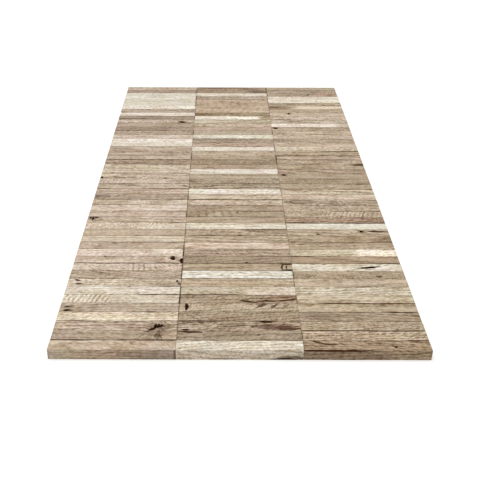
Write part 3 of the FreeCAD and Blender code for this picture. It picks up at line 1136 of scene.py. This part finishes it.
def write_looks(mesh, column, row):
    """Stores what the oak materials read at each vertex of a strip."""
    name = f"{column} {row}"
    rng = random.Random(f"looks of {name}")
    places = points_of(mesh)
    write_attribute(mesh, "strip_place", places)
    write_attribute(mesh, "log_place", log_places(places, column, row, rng))
    write_attribute(mesh, "strip_tint", tint_of(column, row, rng))
    rays = 1.0 if row in QUARTER_SAWN[column] else rng.uniform(0.1, 0.5)
    slants = (0.3, 0.5) if row in CROSS_GRAINED[column] else (0.05, 0.25)
    slant = rng.choice((-1, 1)) * rng.uniform(*slants)
    lively = rng.uniform(0.75, 1.25)
    if row in QUIET[column]:
        lively *= QUIET_SHARE
    elif row in LIVELY[column]:
        lively *= LIVELY_SHARE
    write_attribute(mesh, "strip_cut", (lively, rays, slant))
    start, end, lean, spacing, strength = FLECKED.get(name, (0, 0, 0, 1, 0))
    write_attribute(mesh, "fleck_zone", (start * LENGTH, end * LENGTH, -lean * MM / WIDTH))
    write_attribute(mesh, "fleck_look", (spacing * MM, strength, 0))
    write_attribute(mesh, "pore_share", (FEW_PORES_SHARE if row in FEW_PORES[column] else 1.0, 0, 0))
    where, lean, amount = CHANGES.get(name, (0, 0, 0))
    write_attribute(mesh, "tone_change", (where * LENGTH, lean * MM / WIDTH, amount))
    write_attribute(mesh, "joint_open", openings(places, column, row))
    write_marks(mesh, name)
    knots = [(a * LENGTH, b * WIDTH, min(c, d) * 0.6 * MM) for a, b, c, d, _ in KNOTS.get(name, ())]
    knots += [(0, 0, 0)] * len(KNOT_SLOTS)
    for number, knot in zip(KNOT_SLOTS, knots):
        write_attribute(mesh, f"knot_{number}", knot)


def strips_in(node):
    """Column and row, from 0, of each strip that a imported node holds, read from where its vertices lie."""
    places = points_of(frame["nodes"][node].data)
    columns = np.floor((places[:, 0] - cad_low.x + JOINT / 2) / (LENGTH + JOINT)).astype(int)
    rows = np.floor((places[:, 1] - cad_low.y + JOINT / 2) / (WIDTH + JOINT)).astype(int)
    return sorted(set(zip(columns.tolist(), rows.tolist())))


def lay_strips(node, blank, pebble, wood, bark):
    """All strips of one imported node, sawn, knotted and laid in place, as one piece."""
    laid = []
    for column_number, row_number in strips_in(node):
        column = COLUMNS[column_number]
        row = row_number + 1
        rng = random.Random(f"{column} {row}")
        strip = blank.copy()
        strip.data = blank.data.copy()
        bpy.context.collection.objects.link(strip)
        strip.data.materials.append(wood)
        strip.data.materials.append(bark)
        saw(strip, column, row, rng)
        cut_knots(strip, pebble, column, row, rng)
        write_looks(strip.data, column, row)
        x = cad_low.x + column_number * (LENGTH + JOINT)
        y = cad_low.y + row_number * (WIDTH + JOINT)
        strip.data.transform(Matrix.Translation((x, y, cad_low.z)))
        laid.append(strip)
    bpy.ops.object.select_all(action="DESELECT")
    for strip in laid:
        strip.select_set(True)
    bpy.context.view_layer.objects.active = laid[0]
    bpy.ops.object.join()
    piece = bpy.context.object
    piece.name = node.replace("strips", "fingers")
    piece.data.name = piece.name
    bpy.ops.object.shade_smooth_by_angle(angle=math.radians(25))
    return piece


def seen_share(add):
    """1 where the camera looks, also by a reflection or through glass, and 0 for the light on the part."""
    rays = add("LightPath")
    seen = add("Math", (rays["Is Camera Ray"], rays["Is Glossy Ray"]), operation="ADD")
    return add("Math", (seen, rays["Is Transmission Ray"]), operation="ADD", use_clamp=True)


def lay_floor():
    """Pale paper under the part. The camera sees it lit through, and more so away from the lamp, so it
    is white where no shadow falls."""
    bpy.ops.object.select_all(action="DESELECT")
    bpy.ops.mesh.primitive_plane_add(size=FLOOR_SIZE, location=(0, 0, cad_low.z))
    floor = bpy.context.object
    floor.name = "studio_floor"
    paper = bpy.data.materials.new("matt white studio paper")
    add = bare_tree(paper)
    place = add("TexCoord")["Object"]
    away = add("VectorMath", (place,), operation="LENGTH")
    glow = add("MapRange", (away, *FLOOR_GLOW), **SMOOTH)
    glow = add("Math", (seen_share(add), glow), operation="MULTIPLY")
    glow = add("Emission", {"Color": linear("#FFFFFF"), "Strength": glow})
    matt = add("BsdfDiffuse", {"Color": linear("#E4E3E1")})
    add("OutputMaterial", {"Surface": add("AddShader", (glow, matt))})
    floor.data.materials.append(paper)


def light_studio():
    """A white surround that lights the part softly from all sides, and a soft lamp above it."""
    world = bpy.data.worlds.new("studio")
    bpy.context.scene.world = world
    add = bare_tree(world)
    level = add("MapRange", (seen_share(add), 0.0, 1.0, SKY_LEVEL, 1.0))
    sky = add("Background", {"Color": linear("#FFFFFF"), "Strength": level})
    add("OutputWorld", {"Surface": sky})
    bpy.ops.object.light_add(type="AREA", location=LAMP_PLACE)
    lamp = bpy.context.object
    lamp.name = "softbox"
    lamp.data.shape = "RECTANGLE"
    lamp.data.size = LAMP_SIZE
    lamp.data.size_y = LAMP_SIZE
    lamp.data.energy = LAMP_POWER
    lamp.rotation_euler = (-lamp.location).to_track_quat("-Z", "Y").to_euler()


def set_camera():
    """The camera of the photograph."""
    bpy.ops.object.camera_add()
    camera = bpy.context.object
    camera.data.sensor_width = SENSOR_WIDTH
    camera.data.lens = SENSOR_WIDTH * FOCAL_LENGTH / FRAME_SIZE
    camera.data.shift_x = FRAME_SHIFT / FRAME_SIZE
    pitched = Matrix.Rotation(math.radians(90 - CAMERA_PITCH), 4, "X")
    rolled = Matrix.Rotation(math.radians(CAMERA_ROLL), 4, "Z")
    camera.matrix_world = Matrix.Translation(CAMERA_PLACE) @ pitched @ rolled
    bpy.context.scene.camera = camera
    bpy.context.scene.view_settings.view_transform = "Standard"


SORTS = {
    "sapwood": sawn_oak("sawn oak sapwood", "#F5ECDB", "#CCBEA5", 1.1, 0.75, COARSE_PORES),
    "pale": sawn_oak("sawn pale oak", "#E2D3BC", "#B29D83", 1.05, 0.4, FINE_PORES),
    "heartwood": sawn_oak("sawn oak heartwood", "#D2C0A9", "#98836A", 0.9, 0.4, FINE_PORES),
    "brown": sawn_oak("sawn brown oak", "#BFAB94", "#836F58", 1.0, 0.4, FINE_PORES),
}
bark = knot_wood()
blank = sawn_blank()
pebble = bark_cutter()
pebble.data.materials.append(bark)
for subpart in frame["record"]["subparts"]:
    node = subpart["node"]
    sort = node.split("_")[1]
    piece = lay_strips(node, blank, pebble, SORTS[sort], bark)
    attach(piece, "root")
    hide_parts(node)
bpy.data.objects.remove(blank)
bpy.data.objects.remove(pebble)
lay_floor()
light_studio()
set_camera()
